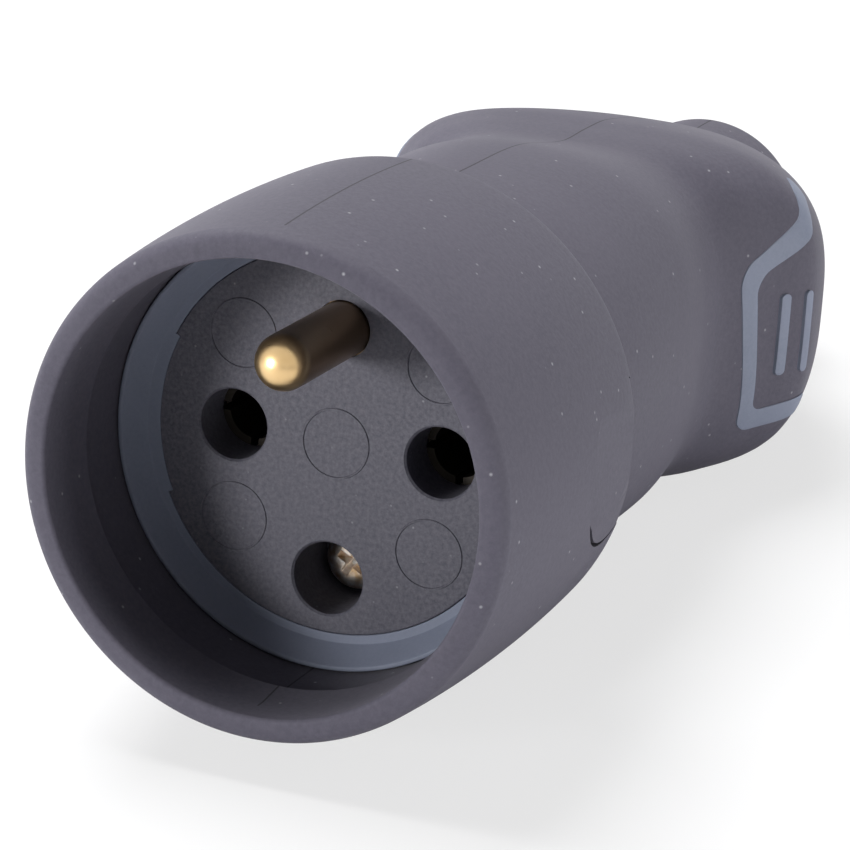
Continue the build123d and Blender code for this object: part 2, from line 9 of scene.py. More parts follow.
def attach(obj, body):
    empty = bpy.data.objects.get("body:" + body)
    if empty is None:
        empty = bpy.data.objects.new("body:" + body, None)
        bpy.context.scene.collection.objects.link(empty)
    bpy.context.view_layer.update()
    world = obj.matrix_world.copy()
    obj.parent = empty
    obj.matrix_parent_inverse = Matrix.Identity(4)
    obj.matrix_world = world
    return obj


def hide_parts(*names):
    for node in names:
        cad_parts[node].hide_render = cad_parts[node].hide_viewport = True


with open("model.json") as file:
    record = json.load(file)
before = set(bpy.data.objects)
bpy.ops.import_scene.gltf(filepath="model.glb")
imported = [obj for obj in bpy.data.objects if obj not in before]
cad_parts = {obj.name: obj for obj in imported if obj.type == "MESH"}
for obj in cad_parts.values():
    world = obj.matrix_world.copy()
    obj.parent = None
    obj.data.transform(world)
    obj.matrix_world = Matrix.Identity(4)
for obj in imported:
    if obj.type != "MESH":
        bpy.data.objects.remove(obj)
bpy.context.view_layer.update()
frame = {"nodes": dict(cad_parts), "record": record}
print("frame loaded with", len(frame["nodes"]), "nodes")

mm = 0.001
fullTurn = 2 * math.pi
sides = (1, -1)
weld = 1e-6  # metres, closer vertices become one
sliver = 1e-7  # metres, shorter edges are dissolved
sameDepth = 2e-7  # metres, how closely the vertices of one ring agree
proud = 1  # how far a cutting tool stands out, in millimetres


# helpers that shape meshes
def wire(corners, closed=True):
    # corners are (radius, depth) or (radius, depth, rounding), in millimetres
    bm = bmesh.new()
    verts = [bm.verts.new((corner[0] * mm, corner[1] * mm, 0)) for corner in corners]
    for near, far in zip(verts, verts[1:] + verts[:1] if closed else verts[1:]):
        bm.edges.new((near, far))
    rounded = []
    for index, corner in enumerate(corners):
        if len(corner) == 3:
            here = verts[index].co
            before = verts[index - 1].co - here
            after = verts[(index + 1) % len(verts)].co - here
            rounded.append((verts[index], corner[2] * mm / math.tan(before.angle(after) / 2)))
    for vert, reach in rounded:
        bmesh.ops.bevel(bm, geom=[vert], offset=reach, offset_type="OFFSET", segments=8,
                        profile=0.5, affect="VERTICES", material=-1)
    return bm


def closeUp(bm):
    bmesh.ops.remove_doubles(bm, verts=bm.verts, dist=weld)
    bmesh.ops.dissolve_degenerate(bm, dist=sliver, edges=bm.edges)
    bmesh.ops.recalc_face_normals(bm, faces=bm.faces)
    return bm


def spun(bm, place=(0, 0), steps=192, angle=fullTurn):
    centre = Vector((place[0] * mm, 0, place[1] * mm))
    bmesh.ops.translate(bm, vec=centre, verts=bm.verts)
    bmesh.ops.spin(bm, geom=bm.verts[:] + bm.edges[:] + bm.faces[:], cent=centre, axis=(0, 1, 0),
                   angle=angle, steps=steps, use_merge=angle == fullTurn)
    return closeUp(bm)


def turned(corners, place=(0, 0), steps=192):
    # a solid whose outline ends on its axis stays open there, a ring is closed
    return spun(wire(corners, closed=corners[0][0] > 0), place, steps)


def solid(name, bm):
    mesh = bpy.data.meshes.new(name)
    bm.to_mesh(mesh)
    bm.free()
    piece = bpy.data.objects.new(name, mesh)
    bpy.context.scene.collection.objects.link(piece)
    return piece


def settled(piece):
    bpy.context.view_layer.update()
    view = bpy.context.evaluated_depsgraph_get()
    made = bpy.data.meshes.new_from_object(piece.evaluated_get(view))
    piece.modifiers.clear()
    old, piece.data = piece.data, made
    bpy.data.meshes.remove(old)
    return piece


def carved(piece, tools, way="DIFFERENCE"):
    for tool in tools:
        step = piece.modifiers.new("carve", "BOOLEAN")
        step.solver = "EXACT"
        step.operation = way
        step.object = tool
    settled(piece)
    for tool in tools:
        mesh = tool.data
        bpy.data.objects.remove(tool)
        bpy.data.meshes.remove(mesh)
    return piece


def twin(piece, name):
    other = piece.copy()
    other.data = piece.data.copy()
    other.name = name
    other.data.name = name
    bpy.context.scene.collection.objects.link(other)
    other.data.transform(Matrix.Scale(-1, 4, (1, 0, 0)))
    other.data.flip_normals()
    return other


def mounted(piece, material, slot, *nodes, sharp=32):
    mesh = piece.data
    mesh.materials.clear()
    mesh.materials.append(material)
    mesh.polygons.foreach_set("material_index", [0] * len(mesh.polygons))
    mesh.shade_smooth()
    mesh.set_sharp_from_angle(angle=math.radians(sharp))
    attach(piece, "root")
    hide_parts(*nodes)
    return piece


# helpers for materials
def shaderNode(tree, kind, links=None, **values):
    node = tree.nodes.new("ShaderNode" + kind)
    for name, value in values.items():
        if hasattr(node, name):
            setattr(node, name, value)
        else:
            node.inputs[name.replace("_", " ")].default_value = value
    for name, source in (links or {}).items():
        tree.links.new(source, node.inputs[name])
    return node


def rampOf(tree, source, stops):
    ramp = shaderNode(tree, "ValToRGB", {"Fac": source})
    elements = ramp.color_ramp.elements
    while len(elements) < len(stops):
        elements.new(0.5)
    for element, (position, shade) in zip(elements, stops):
        element.position = position
        element.color = (shade, shade, shade, 1)
    return ramp.outputs["Color"]


def mixOf(tree, share, first, second):
    node = shaderNode(tree, "Mix", data_type="RGBA")
    for socket, value in ((node.inputs[0], share), (node.inputs[6], first), (node.inputs[7], second)):
        if isinstance(value, bpy.types.NodeSocket):
            tree.links.new(value, socket)
        elif isinstance(value, (int, float)):
            socket.default_value = value
        else:
            socket.default_value = (*value, 1)
    return node.outputs[2]


def noiseOf(tree, where, scale, detail=3.0, roughness=0.55):
    return shaderNode(tree, "TexNoise", {"Vector": where}, Scale=scale, Detail=detail,
                      Roughness=roughness).outputs["Fac"]


def mouldedMaterial(name, look):
    # a matte moulding: slow tone changes, fine grain, fine pits and light dust specks
    material = bpy.data.materials.new(name)
    material.use_nodes = True
    tree = material.node_tree
    shader = tree.nodes["Principled BSDF"]
    where = shaderNode(tree, "TexCoord").outputs["Object"]
    cloud = rampOf(tree, noiseOf(tree, where, look["cloudScale"]), ((0.3, 0.0), (0.7, 1.0)))
    tone = mixOf(tree, cloud, look["deep"], look["pale"])
    grain = noiseOf(tree, where, look["grainScale"], 4.0, 0.7)
    grainTone = rampOf(tree, grain, ((0.35, 0.0), (0.65, 1.0)))
    grainShare = mixOf(tree, grainTone, (0, 0, 0), (look["grainTone"],) * 3)
    tone = mixOf(tree, grainShare, tone, look["grainColour"])
    specks = shaderNode(tree, "TexVoronoi", {"Vector": where}, Scale=look["speckScale"])
    spot = rampOf(tree, specks.outputs["Distance"], ((0.0, 1.0), (look["speckSize"], 0.0)))
    chosen = rampOf(tree, shaderNode(tree, "SeparateColor", {"Color": specks.outputs["Color"]}).outputs[0],
                    ((look["speckRarity"], 0.0), (look["speckRarity"] + 0.02, look["speckTone"])))
    dust = shaderNode(tree, "Math", {0: spot, 1: chosen}, operation="MULTIPLY").outputs[0]
    tone = mixOf(tree, dust, tone, look["dust"])
    if "seamWidth" in look:  # the hairline where the two halves of the mould met
        apart = shaderNode(tree, "SeparateXYZ", {"Vector": where})
        across = shaderNode(tree, "Math", {0: apart.outputs[0]}, operation="ABSOLUTE").outputs[0]
        near = shaderNode(tree, "Math", {0: across}, operation="LESS_THAN").outputs[0]
        near.node.inputs[1].default_value = look["seamWidth"]
        behind = shaderNode(tree, "Math", {0: apart.outputs[1]}, operation="GREATER_THAN").outputs[0]
        behind.node.inputs[1].default_value = look["seamStart"]
        line = shaderNode(tree, "Math", {0: near, 1: behind}, operation="MULTIPLY").outputs[0]
        tone = mixOf(tree, line, tone, look["seam"])
    tree.links.new(tone, shader.inputs["Base Color"])
    least, most = look["roughness"]
    rough = shaderNode(tree, "MapRange", {"Value": cloud}, To_Min=least, To_Max=most)
    tree.links.new(rough.outputs["Result"], shader.inputs["Roughness"])
    shader.inputs["Specular IOR Level"].default_value = look["gloss"]
    shader.inputs["Sheen Weight"].default_value = look["sheen"]
    shader.inputs["Sheen Roughness"].default_value = 0.5
    bump = shaderNode(tree, "Bump", {"Height": grain}, Strength=look["bump"], Distance=look["bumpDepth"])
    tree.links.new(bump.outputs["Normal"], shader.inputs["Normal"])
    return material


def metalMaterial(name, look):
    # a turned metal: fine rings from the tool, a little tarnish and uneven polish, and where asked a
    # painted shade along a pin's shaft
    material = bpy.data.materials.new(name)
    material.use_nodes = True
    tree = material.node_tree
    shader = tree.nodes["Principled BSDF"]
    where = shaderNode(tree, "TexCoord").outputs["Object"]
    cloud = rampOf(tree, noiseOf(tree, where, look["cloudScale"]), ((0.35, 0.0), (0.7, 1.0)))
    tone = mixOf(tree, cloud, look["clean"], look["tarnish"])
    if "paintedShaftShade" in look:  # painted shade: darker behind the tip, along the shaft deep in the well
        depth = shaderNode(tree, "SeparateXYZ", {"Vector": where}).outputs[1]
        behind = shaderNode(tree, "MapRange", {"Value": depth})
        for index, value in enumerate(look["paintedShaftShadeSpan"]):
            behind.inputs[1 + index].default_value = value
        tone = mixOf(tree, behind.outputs["Result"], tone, look["paintedShaftShade"])
    tree.links.new(tone, shader.inputs["Base Color"])
    stretched = shaderNode(tree, "Mapping", {"Vector": where}, Scale=look["ringStretch"])
    rings = noiseOf(tree, stretched.outputs["Vector"], look["ringScale"], 2.0)
    least, most = look["roughness"]
    rough = shaderNode(tree, "MapRange", {"Value": rings}, To_Min=least, To_Max=most)
    tree.links.new(rough.outputs["Result"], shader.inputs["Roughness"])
    shader.inputs["Metallic"].default_value = 1.0
    bump = shaderNode(tree, "Bump", {"Height": rings}, Strength=look["bump"], Distance=0.00005)
    tree.links.new(bump.outputs["Normal"], shader.inputs["Normal"])
    return material


blackRubber = mouldedMaterial("blackRubber", {
    "deep": (0.066, 0.062, 0.083), "pale": (0.082, 0.077, 0.100), "cloudScale": 60,
    "grainScale": 2200, "grainTone": 0.5, "grainColour": (0.105, 0.099, 0.125),
    "speckScale": 600, "speckSize": 0.11, "speckRarity": 0.58, "speckTone": 0.8, "dust": (0.40, 0.40, 0.42),
    "seamWidth": 0.00008, "seamStart": -0.013, "seam": (0.024, 0.023, 0.03),
    "roughness": (0.58, 0.7), "gloss": 0.12, "sheen": 0.05, "bump": 0.25, "bumpDepth": 0.00006,
})
greyRubber = mouldedMaterial("greyRubber", {
    "deep": (0.150, 0.170, 0.225), "pale": (0.180, 0.200, 0.262), "cloudScale": 90,
    "grainScale": 3000, "grainTone": 0.25, "grainColour": (0.22, 0.23, 0.29),
    "speckScale": 500, "speckSize": 0.06, "speckRarity": 0.93, "speckTone": 0.3, "dust": (0.42, 0.43, 0.46),
    "roughness": (0.52, 0.66), "gloss": 0.2, "sheen": 0.0, "bump": 0.15, "bumpDepth": 0.00004,
})
insertPlastic = mouldedMaterial("insertPlastic", {
    "deep": (0.056, 0.055, 0.072), "pale": (0.078, 0.076, 0.095), "cloudScale": 110,
    "grainScale": 2600, "grainTone": 0.7, "grainColour": (0.128, 0.125, 0.148),
    "speckScale": 900, "speckSize": 0.12, "speckRarity": 0.72, "speckTone": 0.6, "dust": (0.34, 0.34, 0.36),
    "roughness": (0.5, 0.64), "gloss": 0.2, "sheen": 0.0, "bump": 0.35, "bumpDepth": 0.00006,
})
turnedBrass = metalMaterial("turnedBrass", {
    "clean": (0.80, 0.60, 0.33), "tarnish": (0.62, 0.42, 0.20), "cloudScale": 160,
    "ringStretch": (1, 14, 1), "ringScale": 420, "roughness": (0.24, 0.38), "bump": 0.12,
    # the shaft's colour is painted shade, where the well shades the pin behind its tip
    "paintedShaftShade": (0.30, 0.20, 0.11), "paintedShaftShadeSpan": (-0.0128, -0.0115),
})
# brass deep in the holes, painted near black: painted shade of the holes, not the metal's own colour
shadowedBrass = metalMaterial("shadowedBrass", {
    "clean": (0.035, 0.03, 0.026), "tarnish": (0.02, 0.018, 0.016), "cloudScale": 200,
    "ringStretch": (1, 10, 1), "ringScale": 420, "roughness": (0.45, 0.6), "bump": 0.1,
})
brightSteel = metalMaterial("brightSteel", {
    "clean": (0.95, 0.93, 0.91), "tarnish": (0.55, 0.38, 0.22), "cloudScale": 900,
    "ringStretch": (1, 1, 1), "ringScale": 1500, "roughness": (0.22, 0.42), "bump": 0.3,
})
print("materials made")


# front sleeve: a crowned barrel, its outside one arc through three points
barrel = {
    "mouth": (21.4, -15.7), "crown": (22.3, 2.5), "back": (22.0, 13.4),
    "mouthRound": 1.235, "backRound": 0.6, "arcCuts": 22,
    "well": 19.2, "edgeRound": 0.4, "lead": -12.0, "lip": (18.8, -8.9),
    "bore": 19.5, "undercut": -8.0, "flange": (16.45, 5.0, 7.0), "collar": 19.35,
}


def arcThrough(first, middle, last):
    # centre and radius of the circle through three (radius, depth) points
    (ax, ay), (bx, by), (cx, cy) = first, middle, last
    twice = 2 * (ax * (by - cy) + bx * (cy - ay) + cx * (ay - by))
    first2, middle2, last2 = ax * ax + ay * ay, bx * bx + by * by, cx * cx + cy * cy
    x = (first2 * (by - cy) + middle2 * (cy - ay) + last2 * (ay - by)) / twice
    y = (first2 * (cx - bx) + middle2 * (ax - cx) + last2 * (bx - ax)) / twice
    return x, y, math.hypot(ax - x, ay - y)


def barrelSolid(inside, cuts=barrel["arcCuts"], backRound=barrel["backRound"]):
    # the crowned outside from the mouth to the back, closed by the given inside corners
    mouth, back = barrel["mouth"], barrel["back"]
    arcX, arcY, arcRadius = arcThrough(mouth, barrel["crown"], back)
    bm = bmesh.new()
    outer = [bm.verts.new((corner[0] * mm, corner[1] * mm, 0)) for corner in (mouth, back)]
    bm.edges.new(outer)
    bmesh.ops.subdivide_edges(bm, edges=bm.edges[:], cuts=cuts)
    for vert in bm.verts:
        reach = vert.co.y / mm - arcY
        vert.co.x = (arcX + math.sqrt(arcRadius ** 2 - reach ** 2)) * mm
    outer = [pick(bm.verts, key=lambda vert: vert.co.y) for pick in (min, max)]
    inner = [bm.verts.new((corner[0] * mm, corner[1] * mm, 0)) for corner in inside]
    for near, far in zip([outer[1]] + inner, inner + ([outer[0]] if inner[0].co.x else [])):
        bm.edges.new((near, far))
    if not inner[0].co.x:
        bm.edges.new((inner[-1], outer[0]))
        bm.edges.remove(bm.edges.get((inner[0], inner[1])))
    rounds = [(outer[0], barrel["mouthRound"]), (outer[1], backRound)]
    if inner[0].co.x:
        rounds.append((inner[-1], barrel["edgeRound"]))
    for vert, reach in rounds:
        bmesh.ops.bevel(bm, geom=[vert], offset=reach * mm, offset_type="OFFSET", segments=8,
                        profile=0.5, affect="VERTICES", material=-1)
    return spun(bm, steps=256)


sidePad = {  # the pad and its root on the handle, and the notch with its deep part in the sleeve
    "radius": 7.3, "length": 10.9, "floor": 20.25, "top": 21.75, "backRound": 0.9,
    "arcCuts": 9, "inset": 0.03,
    "rootRadius": 7.25, "rootFloor": 17.85, "rootTop": 20.7, "rootFront": 7.2,
    "notchRadius": 7.34, "notchFloor": 20.2, "deepRadius": 7.31, "deepFloor": 17.4, "deepFront": 7.3,
    "notchShift": (0.2, 0.25),
}
padMiddle = barrel["back"][1] - sidePad["length"] + sidePad["radius"]


def padSlab(side, radius, inner, outer, front=None):
    # a round slab on one side, cut off square in front where it goes through the wall
    bm = bmesh.new()
    bmesh.ops.create_cone(bm, cap_ends=True, segments=128, radius1=radius * mm, radius2=radius * mm,
                          depth=(outer - inner) * mm)
    bmesh.ops.rotate(bm, cent=(0, 0, 0), matrix=Matrix.Rotation(math.pi / 2, 3, "Y"), verts=bm.verts)
    middle = Vector((side * (outer + inner) / 2 * mm, padMiddle * mm, 0))
    bmesh.ops.translate(bm, vec=middle, verts=bm.verts)
    if front is not None:
        bmesh.ops.bisect_plane(bm, geom=bm.verts[:] + bm.edges[:] + bm.faces[:],
                               plane_co=(0, front * mm, 0), plane_no=(0, -1, 0), clear_outer=True)
        bmesh.ops.holes_fill(bm, edges=[edge for edge in bm.edges if edge.is_boundary])
    bmesh.ops.recalc_face_normals(bm, faces=bm.faces)
    return bm


beyond = barrel["crown"][0] + proud
frontSleeve = solid("frontSleeve", barrelSolid([
    (barrel["collar"], barrel["back"][1]), (barrel["collar"], barrel["flange"][2]),
    (barrel["flange"][0], barrel["flange"][2]), (barrel["flange"][0], barrel["flange"][1]),
    (barrel["bore"], barrel["flange"][1]), (barrel["bore"], barrel["undercut"]), barrel["lip"],
    (barrel["well"], barrel["lead"]), (barrel["well"], barrel["mouth"][1]),
]))
notches = []
for side in sides:
    shallow = padSlab(side, sidePad["notchRadius"], sidePad["notchFloor"], beyond)
    deep = padSlab(side, sidePad["deepRadius"], sidePad["deepFloor"], beyond, sidePad["deepFront"])
    notches += [solid("notch", shallow), solid("notch", deep)]
forward, down = sidePad["notchShift"]
for notch in notches:  # set low and forward, so that the slit opens along the pad's lower front
    notch.data.transform(Matrix.Translation((0, -forward * mm, -down * mm)))
carved(frontSleeve, notches)
mounted(frontSleeve, blackRubber, "black_rubber", "front_sleeve")
print("front sleeve made")


# seal ring: a slanted soft lip with two tongues that reach over the insert's edge
ringSize = {"outer": 19.35, "inner": 16.8, "band": 17.55, "crest": 18.95, "height": 2.2, "back": 2.4,
            "crestRound": 0.18, "bandRound": 0.12,
            "innerRound": 0.1, "tongueInner": 16.35, "tongueOuter": 17.1, "tongueAngle": 24.8}


def tongueSolid(inner, outer, front, back, angle):
    # a flat sector centred on each side of the axis
    parts = []
    for side in sides:
        bm = wire([(inner, front), (outer, front), (outer, back), (inner, back)])
        bmesh.ops.contextual_create(bm, geom=bm.edges[:])
        turn = Matrix.Rotation(math.radians(-angle) + (0 if side > 0 else math.pi), 3, "Y")
        bmesh.ops.rotate(bm, cent=(0, 0, 0), matrix=turn, verts=bm.verts)
        parts.append(spun(bm, steps=24, angle=math.radians(2 * angle)))
    return parts


sealRing = solid("sealRing", turned([
    (ringSize["inner"], ringSize["back"]), (ringSize["inner"], 0, ringSize["innerRound"]),
    (ringSize["band"], 0, ringSize["bandRound"]),
    (ringSize["crest"], -ringSize["height"], ringSize["crestRound"]),
    (ringSize["outer"], -ringSize["height"], ringSize["crestRound"]), (ringSize["outer"], ringSize["back"]),
], steps=256))
tongues = tongueSolid(ringSize["tongueInner"], ringSize["tongueOuter"], 0, ringSize["back"],
                      ringSize["tongueAngle"])
carved(sealRing, [solid("tongue", part) for part in tongues], "UNION")
mounted(sealRing, greyRubber, "grey_rubber", "seal_ring")
print("seal ring made")


# contact insert: the plug's face with its holes, and the chambers behind it
insertSize = {
    "face": 16.75, "faceRound": 0.12, "ledge": 2.4, "flange": (19.2, 5.0), "body": (15.9, 29.0),
    "pitch": 19.0, "earth": 10.0, "screw": 12.0, "holeRadius": 3.1, "holeDepth": 4.6, "chamfer": 0.18,
    "chamber": (4.1, 20.0), "pinMouth": (2.5, 1), "pinHole": 2.7, "screwHole": 3.2, "screwSeat": 7.1,
    "shankHole": 1.9, "shankEnd": 11.5, "pocket": 7.6, "pocketFront": 19.95, "pocketRound": 0.8, "open": 30,
    "slot": 4.5, "slotBlock": (8.91, 9.0, 11.51, 29.5), "tongueInner": 16.3, "tongueFloor": 2.39,
    "tongueAngle": 24.9,
    "markRadius": 3.0, "markPlaces": ((9.0, 8.1), (-9.0, 8.1), (9.0, -8.1), (-9.0, -8.1), (0, 0)),
    "markWidth": 0.26, "markTop": 0.4, "markRise": 0.1, "markRoot": 0.05,
}
contactPlaces = ((insertSize["pitch"] / 2, 0), (-insertSize["pitch"] / 2, 0))
terminalPlaces = (*contactPlaces, (0, insertSize["earth"]))
screwPlace = (0, -insertSize["screw"])


def steppedTool(steps, place, chamfer=0.0):
    # steps are (radius, end depth) from the face inward
    radius = steps[0][0]
    corners = [(0, -proud), (radius, -proud)]
    if chamfer:
        corners = [(0, -proud), (radius + chamfer + proud, -proud), (radius, chamfer)]
    for index, (radius, depth) in enumerate(steps):
        corners.append((radius, depth))
        corners.append((steps[index + 1][0] if index + 1 < len(steps) else 0, depth))
    return solid("bore", turned(corners, place, 96))


def edgesAlong(bm, axis):
    # the edges that run along one axis
    return [edge for edge in bm.edges
            if abs((edge.verts[0].co - edge.verts[1].co).normalized()[axis]) > 0.9]


def blockTool(width, height, front, back, place, rounding=0.0):
    bm = bmesh.new()
    bmesh.ops.create_cube(bm, size=1)
    bmesh.ops.scale(bm, vec=(width * mm, (back - front) * mm, height * mm), verts=bm.verts)
    bmesh.ops.translate(bm, vec=(place[0] * mm, (front + back) / 2 * mm, place[1] * mm), verts=bm.verts)
    if rounding:
        bmesh.ops.bevel(bm, geom=edgesAlong(bm, 1), offset=rounding * mm, segments=5, profile=0.5,
                        affect="EDGES", material=-1)
    return bm


contactInsert = solid("contactInsert", turned([
    (0, 0), (insertSize["face"], 0, insertSize["faceRound"]), (insertSize["face"], insertSize["ledge"]),
    (insertSize["flange"][0], insertSize["ledge"]), insertSize["flange"],
    (insertSize["body"][0], insertSize["flange"][1]), insertSize["body"], (0, insertSize["body"][1]),
], steps=256))
chamber = insertSize["chamber"]
entrySteps = [(insertSize["holeRadius"], insertSize["holeDepth"]), chamber]
pinSteps = [insertSize["pinMouth"], (insertSize["pinHole"], insertSize["holeDepth"]), chamber]
screwSteps = [(insertSize["screwHole"], insertSize["screwSeat"]),
              (insertSize["shankHole"], insertSize["shankEnd"]), (insertSize["slot"], insertSize["open"])]
openings = [steppedTool(entrySteps, place, insertSize["chamfer"]) for place in contactPlaces]
openings.append(steppedTool(pinSteps, terminalPlaces[2]))
openings.append(steppedTool(screwSteps, screwPlace, insertSize["chamfer"]))
for place in terminalPlaces:
    pocket = blockTool(insertSize["pocket"], insertSize["pocket"], insertSize["pocketFront"],
                       insertSize["open"], place, insertSize["pocketRound"])
    openings.append(solid("pocket", pocket))
slot = blockTool(*insertSize["slotBlock"], (0, screwPlace[1] - insertSize["slot"]))
openings.append(solid("slot", slot))
for part in tongueSolid(insertSize["tongueInner"], insertSize["face"] + proud, -proud,
                        insertSize["tongueFloor"], insertSize["tongueAngle"]):
    openings.append(solid("notch", part))
carved(contactInsert, openings)

halfRoot = insertSize["markWidth"] / 2
halfTop = halfRoot * insertSize["markTop"]
marks = [turned([
    (insertSize["markRadius"] - halfRoot, insertSize["markRoot"]),
    (insertSize["markRadius"] - halfTop, -insertSize["markRise"]),
    (insertSize["markRadius"] + halfTop, -insertSize["markRise"]),
    (insertSize["markRadius"] + halfRoot, insertSize["markRoot"]),
], place, 96) for place in insertSize["markPlaces"]]
carved(contactInsert, [solid("mark", part) for part in marks], "UNION")
mounted(contactInsert, insertPlastic, "insert_plastic", "contact_insert")
print("contact insert made")


# earth pin with its collar and its terminal block behind the insert
pinSize = {"radius": 2.4, "tip": -14.0, "tipRound": 2.38, "root": 0.8, "shank": 2.65,
           "collar": (3.6, 4.65, 6.25), "back": 20.0, "join": 21.0,
           "block": 7.2, "blockRound": 0.8, "blockBack": 28.4, "wireBore": 1.7, "wireDepth": 6.8}
collarRadius, collarFront, collarBack = pinSize["collar"]
earthPin = solid("earthPin", turned([
    (0, pinSize["tip"]), (pinSize["radius"], pinSize["tip"], pinSize["tipRound"]),
    (pinSize["radius"], pinSize["root"]), (pinSize["shank"], pinSize["root"]),
    (pinSize["shank"], collarFront), (collarRadius, collarFront), (collarRadius, collarBack),
    (pinSize["shank"], collarBack), (pinSize["shank"], pinSize["join"]), (0, pinSize["join"]),
], terminalPlaces[2], 96))
block = solid("block", blockTool(pinSize["block"], pinSize["block"], pinSize["back"], pinSize["blockBack"],
                                 terminalPlaces[2], pinSize["blockRound"]))
carved(earthPin, [block], "UNION")
boreFront = pinSize["blockBack"] - pinSize["wireDepth"]
boreBack = pinSize["blockBack"] + proud
wireBore = turned([(0, boreFront), (pinSize["wireBore"], boreFront), (pinSize["wireBore"], boreBack),
                   (0, boreBack)], terminalPlaces[2], 64)
carved(earthPin, [solid("bore", wireBore)])
mounted(earthPin, turnedBrass, "pin_brass", "earth_pin")


# assembly screw: domed head with a tapered cross recess
screwSize = {"head": 2.75, "front": 5.0, "seat": 7.1, "shank": 1.75, "tip": 21.46, "dome": 1.5,
             "seatRound": 0.15, "tipRound": 0.4,
             "recessLength": 3.2, "recessWidth": 0.85, "recessDepth": 1.3, "recessProud": 0.5,
             "recessFloor": (0.4, 1, 0.55), "turn": 28}


def crossTool():
    parts = []
    for quarter in (0, 90):
        bm = blockTool(screwSize["recessLength"], screwSize["recessWidth"],
                       screwSize["front"] - screwSize["recessProud"],
                       screwSize["front"] + screwSize["recessDepth"], (0, 0))
        deepVerts = [vert for vert in bm.verts if vert.co.y > screwSize["front"] * mm]
        bmesh.ops.scale(bm, vec=screwSize["recessFloor"], verts=deepVerts)
        turn = Matrix.Rotation(math.radians(quarter + screwSize["turn"]), 3, "Y")
        bmesh.ops.rotate(bm, cent=(0, 0, 0), matrix=turn, verts=bm.verts)
        bmesh.ops.translate(bm, vec=(0, 0, screwPlace[1] * mm), verts=bm.verts)
        parts.append(solid("recess", bm))
    return parts


assemblyScrew = solid("assemblyScrew", turned([
    (0, screwSize["front"]), (screwSize["head"], screwSize["front"], screwSize["dome"]),
    (screwSize["head"], screwSize["seat"], screwSize["seatRound"]), (screwSize["shank"], screwSize["seat"]),
    (screwSize["shank"], screwSize["tip"], screwSize["tipRound"]), (0, screwSize["tip"]),
], screwPlace, 96))
carved(assemblyScrew, crossTool())
mounted(assemblyScrew, brightSteel, "screw_steel", "assembly_screw")
print("pin and screw made")


# rear handle: sections from the round neck over the square waist and the wings to the outlet
handle = {
    "stations": (  # depth, half width, half height, squareness
        (13.4, 18.7, 18.7, 2.0), (26.0, 18.7, 18.7, 2.2), (38.0, 18.2, 18.45, 2.4),
        (50.0, 16.6, 16.6, 3.0), (56.0, 19.5, 16.6, 3.5), (62.0, 22.4, 16.4, 3.3),
        (74.0, 19.5, 14.3, 2.65), (80.0, 16.2, 12.4, 2.35), (86.0, 9.9, 9.9, 2.0)),
    "segments": 240, "rings": 92, "collar": (19.2, 7.0), "collarStep": 0.02,
    "outlet": 10.3, "outletStart": 78, "outletRun": 4, "outletBack": 96.0,
    "outletRound": 1.3, "roundSteps": 8,
    "inside": (  # radius and depth, from the outlet forward
        (7.8, 96.0), (7.8, 84.2), (5.6, 84.2), (5.6, 80.0), (13.2, 54.0), (13.2, 34.0), (17.4, 34.0),
        (17.4, 7.0)),
    "hairTilt": 0.001,
}
stations = handle["stations"]


def stationSlope(index, column):
    before = stations[max(index - 1, 0)]
    after = stations[min(index + 1, len(stations) - 1)]
    return (after[column] - before[column]) / (after[0] - before[0])


def sectionAt(depth):
    # half width, half height and squareness, eased between the two nearest stations
    index = max(i for i, station in enumerate(stations[:-1]) if station[0] <= depth)
    near, far = stations[index], stations[index + 1]
    run = far[0] - near[0]
    share = (depth - near[0]) / run
    ease = share * share * (3 - 2 * share)
    return [near[c] + (far[c] - near[c]) * ease + stationSlope(index, c) * run * share * (1 - share) ** 2
            - stationSlope(index + 1, c) * run * share ** 2 * (1 - share) for c in (1, 2, 3)]


def shapeRing(verts, depth, halfWidth, halfHeight, squareness=2.0, least=0.0):
    for vert in verts:
        angle = math.atan2(vert.co.z, vert.co.x)
        run = abs(math.cos(angle) / halfWidth) ** squareness
        rise = abs(math.sin(angle) / halfHeight) ** squareness
        reach = max((run + rise) ** (-1 / squareness), least) * mm
        vert.co = (reach * math.cos(angle), depth * mm, reach * math.sin(angle))


def nextRing(bm, edges, *section, **more):
    made = bmesh.ops.extrude_edge_only(bm, edges=edges)["geom"]
    shapeRing([item for item in made if isinstance(item, bmesh.types.BMVert)], *section, **more)
    return [item for item in made if isinstance(item, bmesh.types.BMEdge)
            and all(abs(vert.co.y - section[0] * mm) < sameDepth for vert in item.verts)]


def firstRing(bm, depth, radius):
    bmesh.ops.create_circle(bm, cap_ends=False, segments=handle["segments"], radius=1)
    bmesh.ops.rotate(bm, cent=(0, 0, 0), matrix=Matrix.Rotation(math.pi / 2, 3, "X"), verts=bm.verts)
    shapeRing(bm.verts, depth, radius, radius)
    return bm.edges[:]


def handleDepths():
    front, back = stations[0][0], stations[-1][0]
    return [front + (back - front) * step / handle["rings"] for step in range(handle["rings"] + 1)]


